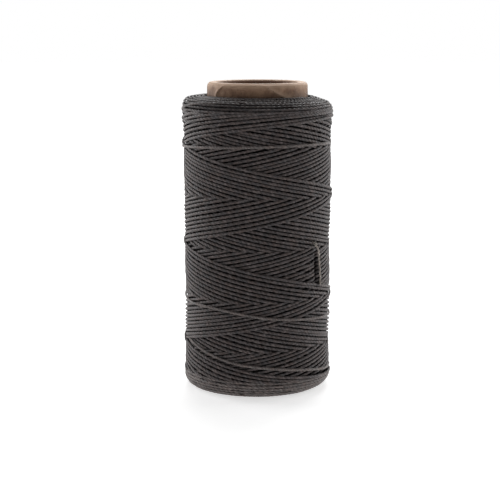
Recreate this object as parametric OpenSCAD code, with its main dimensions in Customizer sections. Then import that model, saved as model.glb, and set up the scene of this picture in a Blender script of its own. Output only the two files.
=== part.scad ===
// Waxed thread, cross wound on a paper tube.
// The spool stands on one rim of the tube with its axis on Z, and the origin is that rim's centre.
// The front is towards -Y. Headings are degrees round Z from the front, and grow towards +X.

/* [Paper tube] */
// Length of the tube, which is the height of the spool
tube_length = 99; // [80:0.5:125]
// Bore of the tube
tube_bore = 25.4; // [20:0.1:31]
// Wall of the tube, with all its plies
tube_wall = 3.4; // [2.6:0.1:4]
// Thickness of the ply that lines the bore
liner_thickness = 0.5; // [0.3:0.05:0.8]
// Thickness of the ply that wraps the outside
skin_thickness = 0.4; // [0.3:0.05:0.7]
// Glue between two plies
glue_line = 0.05; // [0.03:0.01:0.1]
// Rounding of the edges of each rim
rim_round = 1.4; // [0.5:0.1:1.6]

/* [Package] */
// Diameter over the finished turns
package_diameter = 47.8; // [44:0.2:60]
// Bare tube below the package
foot_margin = 0.9; // [0.6:0.1:8]
// Bare tube above the package
head_margin = 4.3; // [2:0.1:12]
// Rounding of the package's lower shoulder
foot_shoulder = 5; // [3.5:0.25:6]
// Rounding of the package's upper shoulder
head_shoulder = 3.5; // [3:0.25:6]
// Gap between the tube and the turns on it
seat_gap = 0.1; // [0.05:0.05:0.3]

/* [Thread] */
// Width of the flattened thread
thread_width = 1; // [0.8:0.05:1.2]
// Thickness of the flattened thread
thread_thickness = 0.4; // [0.35:0.05:0.5]
// Gap kept where one turn crosses another
crossing_gap = 0.5; // [0.45:0.05:0.7]
// Gap kept between the thread and the surface that it lies on
lay_gap = 0.3; // [0.25:0.05:0.4]

/* [Winding] */
// Angle on each side of a turning point over which a stroke turns back
turning_angle = 30; // [20:5:40]
// Lean of the shoulder's surface where the strokes turn back
turning_lean = 60; // [40:5:75]
// Heading of the place where the loose end leaves the turns
tail_heading = 48; // [0:1:90]
// Length of the thread's first end, which lies on the tube below all turns
start_length = 25; // [10:1:40]
// Depth of the pocket where the outer layer comes out of the turns below it
pocket_depth = 1.2; // [1.1:0.1:1.5]

/* [Hidden] */
$fn = 96;

kraft = "#a9855c";
liner_kraft = "#8d6d4b";
waxed_thread = "#5b5350";
buried_thread = "#474140";

// Tube
bore_r = tube_bore / 2;
tube_r = bore_r + tube_wall;
liner_r = bore_r + liner_thickness;
skin_inner_r = tube_r - skin_thickness;

// The rounded edges of a rim leave at least this much flat between them
rim_flat = 0.4;
rim_r = min(rim_round, (tube_wall - rim_flat) / 2);

// The winding's plan. A double stroke goes up the package and down again. It takes a quarter turn less
// than 6 turns, so each starts a quarter turn behind the last, and 4 of them close the layer. Whatever
// the form of a stroke, its up and down runs then cross at every whole crossing_step.
double_strokes = 4;
whole_turns = 6;
double_stroke_angle = 360 * (whole_turns - 1 / double_strokes);
stroke_angle = double_stroke_angle / 2;
crossing_step = 180 / double_strokes;
ring_step = 360 / 24;

// Crossing steps from the last upper turning point to the loose end, and those left out at the start
last_run_steps = 11;
skipped_steps = 3;
wound_to = (2 * double_strokes - 1) * stroke_angle + last_run_steps * crossing_step + ring_step / 2;
wound_from = wound_to - double_strokes * double_stroke_angle + skipped_steps * crossing_step;
ring_count = round((wound_to - wound_from) / ring_step);

// Radii. The chords between rings dip below the round, and build_up is what lies over the core.
package_r = package_diameter / 2;
chord_dip = package_r * (1 - cos(ring_step / 2));
level_step = thread_thickness + crossing_gap;
low_level = lay_gap + chord_dip + thread_thickness / 2;
build_up = low_level + level_step + thread_thickness / 2;
core_r = package_r - build_up;
seat_r = tube_r + seat_gap;

// Heights of the package's ends and of its shoulders' centres
package_foot = foot_margin;
package_head = tube_length - head_margin;
foot_centre = package_foot + foot_shoulder;
head_centre = package_head - head_shoulder;
foot_core_round = foot_shoulder - build_up;
head_core_round = head_shoulder - build_up;

// Climb is the distance up the package's side. Round a shoulder it runs on along the middle of build_up.
foot_lean_step = (foot_shoulder - build_up / 2) * PI / 180;
head_lean_step = (head_shoulder - build_up / 2) * PI / 180;
lowest_climb = foot_centre - turning_lean * foot_lean_step;
highest_climb = head_centre + turning_lean * head_lean_step;
climb_step = (highest_climb - lowest_climb) / (stroke_angle - turning_angle);
cell_climb = climb_step * 360 / double_strokes;

// Section of the flattened thread: across it, and out from the package
thread_outline = [
    [thread_width / 2, 0], [thread_width / 4, thread_thickness / 2],
    [-thread_width / 4, thread_thickness / 2], [-thread_width / 2, 0],
    [-thread_width / 4, -thread_thickness / 2], [thread_width / 4, -thread_thickness / 2]
];
outer_corners = [1, 2];
inner_corners = [4, 5];

// The pocket where the outer layer comes out, and the bend that takes the thread out of it
bend_r = 0.6;
bend_rings = 4;
pocket_r = thread_width / 2 + lay_gap;
pocket_lift = low_level - bend_r;
bend_angle = bend_r / core_r * 180 / PI;

// The loose end's route, chosen by hand: degrees past the winding's end, drop below it in cells, and
// level. Level 0 lies under a crossing turn, level 1 over it, and level 2 over two.
tail_route = [[4.6, 0.08, 1.25], [6.8, 0.3, 1.9], [7.8, 0.72, 2], [8.6, 1.1, 1.2], [9.4, 1.58, 0], [9.8, 1.95, 0]];
tail_splits = 4;

function unit(v) = v / norm(v);

// Steps between 0 and 1 without a kink at either end
function eased(x) = let (t = min(max(x, 0), 1)) t * t * (3 - 2 * t);

// Climb of the guide when the package has turned by this angle from a lower turning point
function climb_at(turned) =
    let (past = turned - double_stroke_angle * floor(turned / double_stroke_angle))
    let (run = min(past, double_stroke_angle - past))
    let (left = stroke_angle - run)
    lowest_climb + climb_step * (
        run < turning_angle ? run * run / (2 * turning_angle)
        : left < turning_angle ? stroke_angle - turning_angle - left * left / (2 * turning_angle)
        : run - turning_angle / 2
    );

// Lean of the package's surface at a climb: 0 on its side, and up to 90 round a shoulder
function lean_at(climb) =
    climb > head_centre ? (climb - head_centre) / head_lean_step
    : climb < foot_centre ? (climb - foot_centre) / foot_lean_step
    : 0;

// Outward direction from the package's surface
function outward(heading, lean) = [cos(lean) * sin(heading), -cos(lean) * cos(heading), sin(lean)];

// Place over the core: heading, climb, and lift above the core's surface
function over_core(heading, climb, lift) =
    let (lean = lean_at(climb))
    let (round_r = climb > head_centre ? head_shoulder : foot_shoulder)
    let (centre_r = package_r - round_r)
    let (centre_z = climb > head_centre ? head_centre : climb < foot_centre ? foot_centre : climb)
    let (reach = round_r - build_up + lift)
    let (radius = centre_r + reach * cos(lean))
    [radius * sin(heading), -radius * cos(heading), centre_z + reach * sin(lean)];

function heading_at(turned) = turned - wound_to + tail_heading;
function lift_of(level) = low_level + min(level, 1) * level_step
    + max(level - 1, 0) * (thread_thickness + lay_gap);

// Angle at which the winding comes back to the place that it passed at crossing number i.
// Double stroke n is the one whose turning point lies midway between the two.
function other_pass(i) =
    let (turned = i * crossing_step)
    let (first = ceil((turned + wound_from) / double_stroke_angle))
    let (offset = -i - first)
    let (n = first + offset - double_strokes * floor(offset / double_strokes))
    n * double_stroke_angle - turned;
function crosses(i) = other_pass(i) <= wound_to && abs(other_pass(i) - i * crossing_step) > 1;

// Level at crossing number i: the later pass lies on top, and a turning point is half way
function crossing_level(i) =
    let (turned = i * crossing_step)
    !crosses(i) ? (other_pass(i) > wound_to ? (turned > stroke_angle * double_strokes ? 1 : 0) : 0.5)
    : turned > other_pass(i) ? 1 : 0;

// Level between crossings. Half a ring step on each side of a crossing stays level.
function level_at(turned) =
    let (i = floor(turned / crossing_step))
    let (past = turned - i * crossing_step)
    let (share = eased((past - ring_step / 2) / (crossing_step - ring_step)))
    crossing_level(i) * (1 - share) + crossing_level(i + 1) * share;

function winding_spot(turned) = over_core(heading_at(turned), climb_at(turned), lift_of(level_at(turned)));
function winding_outward(turned) = outward(heading_at(turned), lean_at(climb_at(turned)));
function winding_along(turned) = unit(winding_spot(turned + 2) - winding_spot(turned - 2));

// One ring of the thread's section at a place, square to along and facing out
function section_ring(place, along, out) =
    let (face = unit(out - (out * along) * along))
    let (side = cross(along, face))
    [for (corner = thread_outline) place + corner[0] * side + corner[1] * face];

// Rings that come straight out of the pocket and bend into the first turn
first_heading = heading_at(wound_from);
first_along = winding_along(wound_from);
first_out = winding_outward(wound_from);
pocket_mouth = winding_spot(wound_from) - bend_r * (first_along + first_out);
pocket_floor = pocket_mouth - (pocket_lift + pocket_depth) * first_out;
pocket_rings = [
    section_ring(pocket_floor, first_out, -first_along),
    for (i = [0:bend_rings - 1])
        let (bend = 90 * i / bend_rings)
        let (along = cos(bend) * first_out + sin(bend) * first_along)
        let (out = sin(bend) * first_out - cos(bend) * first_along)
        section_ring(
            pocket_mouth + bend_r * ((1 - cos(bend)) * first_along + sin(bend) * first_out), along, out
        )
];

turn_rings = [
    for (i = [0:ring_count])
        let (turned = wound_from + i * ring_step)
        section_ring(winding_spot(turned), winding_along(turned), winding_outward(turned))
];

// The winding ends in a straight run one thread wide, and the loose end goes on from its end face
last_along = winding_along(wound_to);
winding_end = winding_spot(wound_to) + thread_width * last_along;
end_ring = section_ring(winding_end, last_along, winding_outward(wound_to));
winding_rings = concat(pocket_rings, turn_rings, [end_ring]);

// The loose end's route as places, with one more before its start and after its end to aim it
tail_start = winding_end + 0.4 * thread_width * last_along;
tail_knots = concat(
    [winding_end, tail_start],
    [for (knot = tail_route)
        over_core(tail_heading + knot[0], climb_at(wound_to) - knot[1] * cell_climb, lift_of(knot[2]))]
);
function knot(i) = tail_knots[min(max(i, 0), len(tail_knots) - 1)];

// Curve through four knots, from the second to the third
function through(a, b, c, d, t) =
    b + t * (c - a) / 2 + t * t * (a - 2.5 * b + 2 * c - d / 2) + t * t * t * (1.5 * (b - c) + (d - a) / 2);
tail_line = [
    winding_end,
    for (i = [1:len(tail_knots) - 2], s = [0:tail_splits - 1])
        through(knot(i - 1), knot(i), knot(i + 1), knot(i + 2), s / tail_splits),
    knot(len(tail_knots) - 1)
];
function tail_along(i) = i == 0 ? last_along
    : unit(tail_line[min(i + 1, len(tail_line) - 1)] - tail_line[i - 1]);
tail_rings = [
    for (i = [0:len(tail_line) - 1])
        section_ring(tail_line[i], tail_along(i), unit([tail_line[i][0], tail_line[i][1], 0]))
];

// Least gap of the winding to itself. At each crossing the inner edges of the upper pass and the outer
// edges of the lower one are measured on points over three segments.
gap_points = 12;
function edge_points(turned, corners) =
    let (first = round((turned - ring_step * 1.5 - wound_from) / ring_step))
    [
        for (i = [max(first, 0):min(first + 2, ring_count - 1)], corner = corners, s = [0:gap_points])
            turn_rings[i][corner] + (turn_rings[i + 1][corner] - turn_rings[i][corner]) * s / gap_points
    ];
function points_gap(upper, lower) = min([for (a = upper, b = lower) norm(a - b)]);
first_crossing = ceil(wound_from / crossing_step);
last_crossing = floor(wound_to / crossing_step);
function least_gap() = min([
    for (i = [first_crossing:last_crossing])
        if (crosses(i) && i * crossing_step > other_pass(i))
            points_gap(edge_points(i * crossing_step, inner_corners), edge_points(other_pass(i), outer_corners))
]);

// One closed tube through rings of the same number of points
module swept(rings) {
    sides = len(rings[0]);
    last = len(rings) - 1;
    points = [for (ring = rings, point = ring) point];
    skin = [
        for (i = [0:last - 1], k = [0:sides - 1])
            let (a = i * sides + k)
            let (b = i * sides + (k + 1) % sides)
            each [[a, b, b + sides], [a, b + sides, a + sides]]
    ];
    start_cap = [for (k = [1:sides - 2]) [0, k + 1, k]];
    end_cap = [for (k = [1:sides - 2]) [last * sides, last * sides + k, last * sides + k + 1]];
    polyhedron(points, concat(skin, start_cap, end_cap));
}

// Quarter disc whose square corner is at the origin
module quarter(radius) {
    intersection() {
        circle(radius);
        square(radius);
    }
}

// Section of the whole tube wall, with its rims' edges rounded
module wall_outline() {
    translate([bore_r + rim_r, 0]) square([tube_wall - 2 * rim_r, tube_length]);
    translate([bore_r, rim_r]) square([tube_wall, tube_length - 2 * rim_r]);
    for (x = [bore_r + rim_r, tube_r - rim_r], y = [rim_r, tube_length - rim_r])
        translate([x, y]) circle(rim_r);
}

// Part of the tube wall between two radii
module ply(inner_r, outer_r) {
    rotate_extrude() intersection() {
        wall_outline();
        translate([inner_r, 0]) square([outer_r - inner_r, tube_length]);
    }
}

// Half section of the plain core, with a rounded shoulder at each end
module core_outline() {
    translate([seat_r, foot_centre]) square([core_r - seat_r, head_centre - foot_centre]);
    translate([seat_r, foot_centre - foot_core_round])
        square([core_r - foot_core_round - seat_r, foot_core_round]);
    translate([seat_r, head_centre]) square([core_r - head_core_round - seat_r, head_core_round]);
    translate([core_r - foot_core_round, foot_centre]) mirror([0, 1]) quarter(foot_core_round);
    translate([core_r - head_core_round, head_centre]) quarter(head_core_round);
}

module tube_liner_ply() {
    color(liner_kraft) ply(bore_r, liner_r);
}

module tube_body_plies() {
    color(kraft) ply(liner_r + glue_line, skin_inner_r - glue_line);
}

module tube_outer_ply() {
    color(kraft) ply(skin_inner_r, tube_r);
}

// The thread's first end, laid up the back of the tube before the first turn
module thread_start_end() {
    color(buried_thread)
        translate([0, seat_r + thread_thickness / 2, foot_centre - foot_core_round])
            linear_extrude(start_length) polygon(thread_outline);
}

// All turns below the outer layer. A groove takes the first end, and a pocket lets the outer layer out.
module thread_inner_package() {
    color(buried_thread) difference() {
        rotate_extrude() core_outline();
        translate([-thread_width / 2 - lay_gap, 0, 0])
            cube([
                thread_width + 2 * lay_gap,
                seat_r + thread_thickness + lay_gap,
                foot_centre - foot_core_round + start_length + lay_gap
            ]);
        translate(pocket_floor) rotate([0, 90, first_heading - 90])
            cylinder(r = pocket_r, h = 3 * pocket_depth);
    }
}

module thread_outer_winding() {
    echo(least_gap_of_outer_winding_mm = least_gap());
    color(waxed_thread) swept(winding_rings);
}

module thread_tail() {
    color(waxed_thread) swept(tail_rings);
}

tube_liner_ply();
tube_body_plies();
tube_outer_ply();
thread_start_end();
thread_inner_package();
thread_outer_winding();
thread_tail();
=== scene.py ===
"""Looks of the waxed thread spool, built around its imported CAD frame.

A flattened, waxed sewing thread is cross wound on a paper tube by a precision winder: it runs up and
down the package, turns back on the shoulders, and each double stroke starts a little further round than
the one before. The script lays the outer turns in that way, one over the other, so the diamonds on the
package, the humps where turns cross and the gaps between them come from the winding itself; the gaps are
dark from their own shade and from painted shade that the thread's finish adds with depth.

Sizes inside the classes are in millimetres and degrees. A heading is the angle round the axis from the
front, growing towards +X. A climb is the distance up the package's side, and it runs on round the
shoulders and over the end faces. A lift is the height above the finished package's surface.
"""

import logging
import math
from abc import ABC, abstractmethod
from dataclasses import dataclass, field, replace
from enum import Enum

import bmesh
import bpy
import numpy as np
from mathutils import Euler, Matrix, Vector


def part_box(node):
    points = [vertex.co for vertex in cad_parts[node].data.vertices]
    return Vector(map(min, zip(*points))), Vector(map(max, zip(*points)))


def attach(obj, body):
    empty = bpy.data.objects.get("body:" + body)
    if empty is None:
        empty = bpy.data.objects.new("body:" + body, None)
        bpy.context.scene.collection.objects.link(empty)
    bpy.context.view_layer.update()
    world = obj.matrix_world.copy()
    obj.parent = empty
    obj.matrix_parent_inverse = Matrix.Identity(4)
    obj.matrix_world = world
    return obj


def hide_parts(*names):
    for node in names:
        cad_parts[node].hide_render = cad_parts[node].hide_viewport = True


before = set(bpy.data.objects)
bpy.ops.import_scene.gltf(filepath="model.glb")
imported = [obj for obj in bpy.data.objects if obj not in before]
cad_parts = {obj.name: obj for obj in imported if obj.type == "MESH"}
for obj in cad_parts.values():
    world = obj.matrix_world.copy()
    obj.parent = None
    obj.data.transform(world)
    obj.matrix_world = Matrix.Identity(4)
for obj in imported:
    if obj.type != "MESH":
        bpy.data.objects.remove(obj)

LOG = logging.getLogger("spool")
MM = 0.001
ROOT = "root"
DEPTH = "depth"
FOLD = "fold"

Tree = bpy.types.NodeTree
Socket = bpy.types.NodeSocket
Shape = bpy.types.Object
Material = bpy.types.Material
Colour = tuple[float, float, float, float]
Span = tuple[float, float]

# The thread has this many plies, and their humps follow each other at this distance, in millimetres.
PLIES = 3
HUMP = 1.5

# The soft end face hangs this much lower than the plain core, in millimetres, and just clears the table.
FOOT_SLUMP = 0.75

# Index of refraction of the wax on the thread.
WAX_IOR = 1.45

# The lining paper is this brown where it is pale, and where painted light falls on it.
BROWN = "#8a6c5a"


class Node(Enum):
    """CAD nodes that the pieces here stand for or dress."""

    LINER = "tube_liner_ply"
    BODY = "tube_body_plies"
    SKIN = "tube_outer_ply"
    START = "thread_start_end"
    CORE = "thread_inner_package"
    WINDING = "thread_outer_winding"
    TAIL = "thread_tail"


class Slot(Enum):
    """Material slots of the record."""

    LINER = "liner_paper"
    BOARD = "core_board"
    KRAFT = "kraft_paper"
    THREAD = "waxed_thread"
    WOUND = "wound_thread"


class End(Enum):
    """Ends of the package, as the sign of their direction along the axis."""

    FOOT = -1
    HEAD = 1


def linear(hex_code: str) -> Colour:
    """Turns an sRGB hex colour to linear.

    Args:
        hex_code: colour such as "#5b5350".

    Returns:
        Linear red, green, blue and an alpha of 1.
    """
    parts = [int(hex_code[i : i + 2], 16) / 255 for i in (1, 3, 5)]
    red, green, blue = (p / 12.92 if p <= 0.04045 else ((p + 0.055) / 1.055) ** 2.4 for p in parts)
    return red, green, blue, 1.0


def add(tree: Tree, kind: str, inputs: dict | None = None, **settings: object) -> bpy.types.Node:
    """Adds a node with its settings and inputs.

    Args:
        tree: node tree that gets the node.
        kind: the node's type, without the ShaderNode that it begins with.
        inputs: value, or output socket to link, for each input by name or place.
        settings: the node's own properties.

    Returns:
        The new node.
    """
    node = tree.nodes.new("ShaderNode" + kind)
    for name, value in settings.items():
        setattr(node, name, value)
    for place, value in (inputs or {}).items():
        if isinstance(value, Socket):
            tree.links.new(value, node.inputs[place])
        else:
            node.inputs[place].default_value = value
    return node


def ease(x: np.ndarray | float) -> np.ndarray | float:
    """Smooth step from 0 to 1."""
    t = np.clip(x, 0, 1)
    return t * t * (3 - 2 * t)


def turn_from(heading: np.ndarray, other: np.ndarray | float) -> np.ndarray:
    """Shortest turn from another heading to this one, in degrees."""
    return (heading - other + 180) % 360 - 180


def spread(reach: float, count: int) -> np.ndarray:
    """Even places from one side to the other, which both lie this far off."""
    return np.linspace(-reach, reach, count)


def smoothed(line: np.ndarray, weights: np.ndarray) -> np.ndarray:
    """Running mean of a line, over as many points as there are weights, whose count is odd."""
    return np.convolve(np.pad(line, len(weights) // 2, "edge"), weights / weights.sum(), "valid")


# ---------------------------------------------------------------------------------------- Finishes


@dataclass(frozen=True)
class Ramp:
    """Turns one range of values to another: a noise or a depth to the share, shade or roughness it gives."""

    source: Span
    target: Span

    def of(self, tree: Tree, value: Socket, interpolation: str = "LINEAR") -> Socket:
        """Adds the node for a value and gives its output."""
        inputs = dict(enumerate((value, *self.source, *self.target)))
        return add(tree, "MapRange", inputs, interpolation_type=interpolation).outputs[0]


def maths(tree: Tree, operation: str, *values: Socket | float) -> Socket:
    """Adds a Math node and gives its output."""
    return add(tree, "Math", dict(enumerate(values)), operation=operation).outputs[0]


def mixed(tree: Tree, share: Socket | float, first: Socket | Colour, second: Socket | Colour) -> Socket:
    """Adds a colour Mix node and gives its output."""
    inputs = {"Factor": share, 6: first, 7: second}
    return add(tree, "Mix", inputs, data_type="RGBA").outputs[2]


def shaded(tree: Tree, colour: Socket, shade: Socket) -> Socket:
    """Adds a Mix node that multiplies a colour by a shade, and gives its output."""
    inputs = {"Factor": 1.0, 6: colour, 7: shade}
    return add(tree, "Mix", inputs, data_type="RGBA", blend_type="MULTIPLY").outputs[2]


def noise(tree: Tree, place: Socket, size: float, detail: float, roughness: float = 0.5) -> Socket:
    """Adds a Noise Texture.

    Args:
        tree: node tree that gets the node.
        place: where each point lies.
        size: size of the largest features, in the units of place.
        detail: octaves of finer features.
        roughness: strength of the finer features.

    Returns:
        The output with the noise's value.
    """
    inputs = {"Vector": place, "Scale": 1 / size, "Detail": detail, "Roughness": roughness}
    return add(tree, "TexNoise", inputs).outputs["Fac"]


def bumped(tree: Tree, height: Socket, strength: float, distance: float) -> Socket:
    """Adds a Bump node of a distance in millimetres and gives its output."""
    inputs = {"Strength": strength, "Distance": distance * MM, "Height": height}
    return add(tree, "Bump", inputs).outputs[0]


@dataclass(frozen=True)
class Finish(ABC):
    """A surface finish that is named for the real material."""

    name: str

    def material(self) -> Material:
        """Makes the material.

        Returns:
            A new material whose nodes this finish has set.
        """
        material = bpy.data.materials.new(self.name)
        material.use_nodes = True
        tree = material.node_tree
        tree.nodes.clear()
        add(tree, "OutputMaterial", {"Surface": self.shader(tree)})
        return material

    @abstractmethod
    def shader(self, tree: Tree) -> Socket:
        """Adds the finish's nodes and gives the output of its shader."""


@dataclass(frozen=True)
class WaxedThread(Finish):
    """Twisted polyester sewing thread with a coat of wax.

    The plies show as fine slanting humps, with painted shade in the grooves between them, and the filaments
    as streaks along the thread. Its dye drifts a little between warm and cool. The wax gives a soft sheen,
    and lies thicker in pale smears. Deep between the turns, colour and gloss are darkened with the depth
    that the pieces carry as an attribute: painted shade for the shade that falls between the turns.
    """

    name: str = "waxed_polyester_thread"
    warm: str = "#534946"
    cool: str = "#474445"
    painted_groove: str = "#100e0e"
    wax: str = "#7b7271"
    dye: float = 3.0
    dye_drift: Ramp = Ramp((0.38, 0.62), (0.0, 1.0))
    groove_edge: Ramp = Ramp((0.0, 0.4), (0.3, 1.0))
    smear: float = 1.6
    smear_cover: Ramp = Ramp((0.5, 0.74), (0.0, 0.8))
    smear_roughness: Ramp = Ramp((0.35, 0.7), (0.42, 0.62))
    streak: tuple[float, float, float] = (0.9, 14.0, 1.0)
    streak_shade: Ramp = Ramp((0.3, 0.7), (0.65, 1.3))
    streak_relief: float = 0.35
    painted_depth_shade: Ramp = Ramp((-0.05, 0.66), (1.0, 0.06))
    gloss: float = 0.22

    def shader(self, tree: Tree) -> Socket:
        """Adds the thread's nodes. Its UV map holds millimetres along the thread and turns round it.

        Args:
            tree: the material's node tree.

        Returns:
            The shader's output.
        """
        place = add(tree, "TexCoord")
        thread = place.outputs["UV"]
        along, around, _ = add(tree, "SeparateXYZ", {0: thread}).outputs
        phase = maths(
            tree, "MULTIPLY_ADD", around, math.pi * PLIES, maths(tree, "MULTIPLY", along, math.pi / HUMP)
        )
        ply = maths(tree, "ABSOLUTE", maths(tree, "SINE", phase))
        drawn = add(tree, "VectorMath", {0: thread, 1: self.streak}, operation="MULTIPLY")
        streaks = noise(tree, drawn.outputs[0], 1.0, detail=3.0, roughness=0.6)
        smears = noise(tree, place.outputs["Object"], self.smear * MM, detail=4.0, roughness=0.65)
        tint = self.dye_drift.of(tree, noise(tree, thread, self.dye, detail=3.0))
        dyed = mixed(tree, tint, linear(self.cool), linear(self.warm))
        # Painted shade in the grooves between the plies.
        groove_shaded = mixed(tree, self.groove_edge.of(tree, ply), linear(self.painted_groove), dyed)
        waxed = mixed(tree, self.smear_cover.of(tree, smears), groove_shaded, linear(self.wax))
        streaked = shaded(tree, waxed, self.streak_shade.of(tree, streaks))
        # Painted shade: colour and gloss darken with the depth below the turns round them.
        depth = add(tree, "Attribute", attribute_name=DEPTH).outputs["Fac"]
        lit = self.painted_depth_shade.of(tree, depth, "SMOOTHSTEP")
        relief = maths(tree, "MULTIPLY_ADD", streaks, self.streak_relief, ply)
        surface = {
            "Base Color": shaded(tree, streaked, lit),
            "Roughness": self.smear_roughness.of(tree, smears),
            "IOR": WAX_IOR,
            "Specular IOR Level": maths(tree, "MULTIPLY", lit, self.gloss),
            "Sheen Weight": 0.05,
            "Sheen Roughness": 0.4,
            "Normal": bumped(tree, relief, strength=0.9, distance=0.12),
        }
        return add(tree, "BsdfPrincipled", surface).outputs[0]


@dataclass(frozen=True)
class BuriedThread(Finish):
    """Closely wound thread below the outer turns, which shows only as dark rings in the gaps: painted shade,
    far darker than the thread's own colour, and darkest between its turns.
    """

    name: str = "buried_waxed_thread"
    # Painted shade: both colours are far darker than the thread's own, for the shade deep in the gaps.
    thread: str = "#171514"
    gap: str = "#0a0909"
    ring: float = 0.9
    ring_edge: Ramp = Ramp((-1.0, 1.0), (0.0, 1.0))
    wobble: float = 1.2
    wobble_size: float = 6.25

    def shader(self, tree: Tree) -> Socket:
        """Adds rings of turns round the axis.

        Args:
            tree: the material's node tree.

        Returns:
            The shader's output.
        """
        place = add(tree, "TexCoord").outputs["Object"]
        spot = add(tree, "SeparateXYZ", {0: place})
        wobble = noise(tree, place, self.wobble_size * MM, detail=2.0)
        height = maths(tree, "MULTIPLY_ADD", wobble, self.wobble * MM, spot.outputs["Z"])
        phase = maths(tree, "MULTIPLY", height, 2 * math.pi / (self.ring * MM))
        share = self.ring_edge.of(tree, maths(tree, "SINE", phase))
        surface = {
            "Base Color": mixed(tree, share, linear(self.gap), linear(self.thread)),
            "Roughness": 0.6,
            "IOR": WAX_IOR,
            "Normal": bumped(tree, share, strength=0.8, distance=0.2),
        }
        return add(tree, "BsdfPrincipled", surface).outputs[0]


@dataclass(frozen=True)
class Paper(Finish):
    """Unbleached paper, rolled on a tube.

    Pulp fibres give fine flecks, the mill's rolling gives streaks, and handling and glue give soft
    blotches. Kraft and board have the same slight sheen. Painted light makes the paper paler towards its
    upper edge, where light falls on the rim, and on the folds that stand out, whose height the skin carries
    as an attribute. Painted shade darkens it further down, next to the package. The blotches make both zones'
    edges uneven.
    """

    name: str
    pale: str
    dark: str
    fleck: str
    blotch: float = 3.5
    blotch_rise: float = 1.5
    fibre: float = 0.45
    fibre_tone: float = 0.45
    clumps: float = 0.4
    tone: Ramp = Ramp((0.5, 0.95), (0.0, 1.0))
    specks: Ramp = Ramp((0.06, 0.16), (0.55, 0.0))
    roughness: float = 0.55
    shine: float = 0.12
    relief: float = 0.02
    streak: tuple[float, float, float] = (1.0, 1.0, 0.35)
    painted_light: str = "#c9ab93"
    # Painted light: the paper turns paler towards its upper edge, where light falls on the rim, and on fold
    # crests.
    painted_top_light: Ramp = Ramp((97.6 * MM, 99.0 * MM), (0.0, 0.75))
    painted_crest_highlight: Ramp = Ramp((0.1, 0.45), (0.0, 0.7))
    # Painted shade: how dark the paper gets low down, next to the package, and the heights where it fades in.
    waxed: float = 1.0
    package_shade_span: Span = (95.0 * MM, 97.6 * MM)

    def shader(self, tree: Tree) -> Socket:
        """Adds blotches, streaks and flecks on Object coordinates.

        Args:
            tree: the material's node tree.

        Returns:
            The shader's output.
        """
        place = add(tree, "TexCoord").outputs["Object"]
        blotches = noise(tree, place, self.blotch * MM, detail=5.0, roughness=0.6)
        drawn = add(tree, "VectorMath", {0: place, 1: self.streak}, operation="MULTIPLY").outputs[0]
        fibres = noise(tree, drawn, self.fibre * MM, detail=4.0, roughness=0.7)
        clumps = {"Vector": drawn, "Scale": self.clumps / (self.fibre * MM), "Randomness": 1.0}
        cells = add(tree, "TexVoronoi", clumps).outputs["Distance"]
        tone = maths(tree, "MULTIPLY_ADD", fibres, self.fibre_tone, blotches)
        pulp = mixed(tree, self.tone.of(tree, tone), linear(self.dark), linear(self.pale))
        spot = add(tree, "SeparateXYZ", {0: place})
        height = maths(tree, "MULTIPLY_ADD", blotches, self.blotch_rise * MM, spot.outputs["Z"])
        # Painted shade next to the package; painted light at the upper edge and on fold crests, below.
        package_shade = Ramp(self.package_shade_span, (self.waxed, 1.0)).of(tree, height)
        fold = add(tree, "Attribute", attribute_name=FOLD).outputs["Fac"]
        painted_light_share = maths(tree, "MAXIMUM", self.painted_top_light.of(tree, height), self.painted_crest_highlight.of(tree, fold))
        with_painted_light = mixed(tree, painted_light_share, shaded(tree, pulp, package_shade), linear(self.painted_light))
        surface = {
            "Base Color": mixed(tree, self.specks.of(tree, cells), with_painted_light, linear(self.fleck)),
            "Roughness": self.roughness,
            "Specular IOR Level": self.shine,
            "Normal": bumped(tree, fibres, strength=0.6, distance=self.relief),
        }
        return add(tree, "BsdfPrincipled", surface).outputs[0]


@dataclass(frozen=True)
class PaleSweep(Finish):
    """Matte white studio sweep. It shows white to the camera, and keeps the spool's shadow.

    For all other rays it glows, most close to the spool: painted bounce light, which brightens the turns at
    the foot.
    """

    name: str = "matte_white_sweep"
    paper: str = "#e6e6e6"
    glow: Ramp = Ramp((0.05, 0.45), (0.62, 1.0))
    # Painted bounce light: the sweep glows for the spool's other rays, most close to it.
    painted_bounce: Ramp = Ramp((0.03, 0.06), (0.85, 0.36))

    def shader(self, tree: Tree) -> Socket:
        """Adds plain white to what the camera sees of the sweep, more of it away from the spool, and a glow
        as painted bounce light for other rays, strongest near the spool.

        Args:
            tree: the floor material's node tree.

        Returns:
            The shader's output.
        """
        rays = add(tree, "LightPath").outputs
        seen = maths(tree, "MAXIMUM", rays["Is Camera Ray"], rays["Is Glossy Ray"])
        place = add(tree, "TexCoord").outputs["Object"]
        away = add(tree, "VectorMath", {0: place}, operation="LENGTH").outputs["Value"]
        shown = {"Factor": seen, 2: self.painted_bounce.of(tree, away), 3: self.glow.of(tree, away)}
        strength = add(tree, "Mix", shown, data_type="FLOAT").outputs[0]
        matte = add(tree, "BsdfDiffuse", {"Color": linear(self.paper)}).outputs[0]
        white = add(tree, "Emission", {"Color": linear("#ffffff"), "Strength": strength}).outputs[0]
        return add(tree, "AddShader", {0: matte, 1: white}).outputs[0]


# ------------------------------------------------------------------------------------------ Pieces


@dataclass
class Piece:
    """A finished object of the part, which rides on the one body and replaces some CAD nodes."""

    shape: Shape
    slot: Slot
    stands_for: tuple[Node, ...]
    finish: Material

    def __post_init__(self) -> None:
        """Hangs the object, which is already in place, on the one body, and hides the CAD nodes it stands
        for.
        """
        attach(self.shape, ROOT)
        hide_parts(*(node.value for node in self.stands_for))

    def dress(self) -> None:
        """Gives the piece its one material and reports it."""
        coat(self.shape, self.finish)
        LOG.info("%s: %d faces, %s", self.shape.name, len(self.shape.data.polygons), self.finish.name)


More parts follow.
